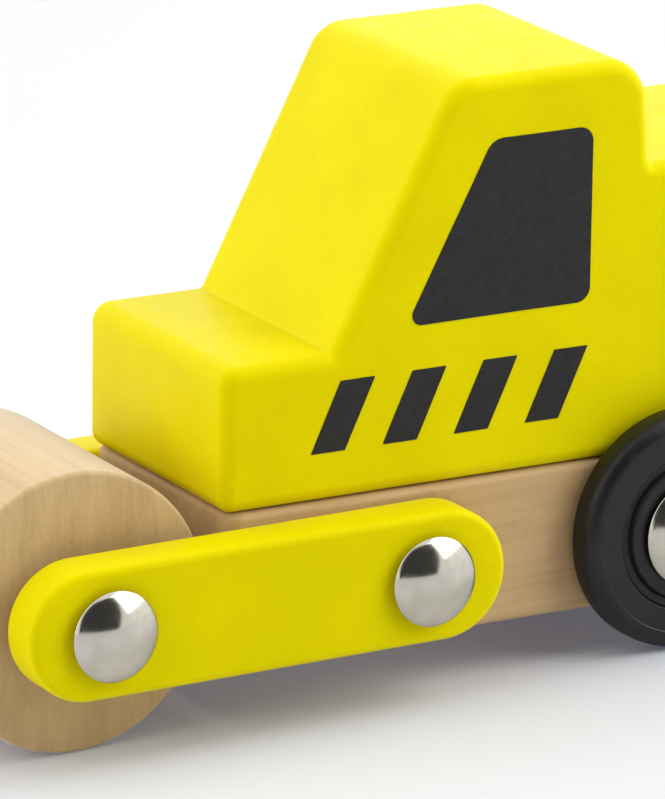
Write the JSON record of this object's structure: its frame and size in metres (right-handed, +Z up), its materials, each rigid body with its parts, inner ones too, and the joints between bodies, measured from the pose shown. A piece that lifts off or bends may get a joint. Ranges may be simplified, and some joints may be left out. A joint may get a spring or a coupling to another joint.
{
  "type": "toy road roller",
  "caption": "Wooden toy road roller: yellow cab with painted windows and slanted stripes on a bare chassis, black rear wheels, and a drum held between two swinging side arms.",
  "frame": {"origin": "on the ground, at the bottom centre of the toy's box, midway between its two sides", "axes": "+X the way it drives, towards the drum; +Y the toy's left; +Z up"},
  "size_m": [0.1226, 0.054, 0.0735],
  "materials": {
    "yellow_paint": "satin paint on wood",
    "bare_wood": "bare sanded wood",
    "black_wheel": "satin black",
    "black_print": "matt ink",
    "polished_caps": "polished",
    "steel_rod": "drawn"
  },
  "bodies": {
    "body": {"chassis": "bare_wood", "cab_body": "yellow_paint", "pivot_rod": "steel_rod", "pivot_cap_left": "polished_caps", "pivot_cap_right": "polished_caps", "window_print_left": "black_print", "stripe_print_left_1": "black_print", "stripe_print_left_2": "black_print", "stripe_print_left_3": "black_print", "stripe_print_left_4": "black_print", "window_print_right": "black_print", "stripe_print_right_1": "black_print", "stripe_print_right_2": "black_print", "stripe_print_right_3": "black_print", "stripe_print_right_4": "black_print"},
    "roller_frame": {"arm_left": "yellow_paint", "arm_right": "yellow_paint", "drum_axle": "steel_rod", "drum_cap_left": "polished_caps", "drum_cap_right": "polished_caps"},
    "roller": {"drum": "bare_wood"},
    "rear_axle": {"rear_axle": "steel_rod", "wheel_cap_left": "polished_caps", "wheel_cap_right": "polished_caps"},
    "left_wheel": {"wheel_left": "black_wheel"},
    "right_wheel": {"wheel_right": "black_wheel"}
  },
  "joints": [
    {"name": "arm_pivot", "type": "hinge", "parent": "body", "child": "roller_frame", "pos_m": [0.00208, 0, 0.01604], "axis": [0, -1, 0], "range_deg": [-20, 11.5]},
    {"name": "drum_spin", "type": "hinge", "parent": "roller_frame", "child": "roller", "pos_m": [0.04427, 0, 0.017], "axis": [0, 1, 0], "continuous": true},
    {"name": "rear_axle_spin", "type": "hinge", "parent": "body", "child": "rear_axle", "pos_m": [-0.0354, 0, 0.0148], "axis": [0, 1, 0], "continuous": true},
    {"name": "wheel_left_spin", "type": "hinge", "parent": "rear_axle", "child": "left_wheel", "pos_m": [-0.0354, 0.01715, 0.0148], "axis": [0, 1, 0], "continuous": true},
    {"name": "wheel_right_spin", "type": "hinge", "parent": "rear_axle", "child": "right_wheel", "pos_m": [-0.0354, -0.01715, 0.0148], "axis": [0, 1, 0], "continuous": true}
  ]
}
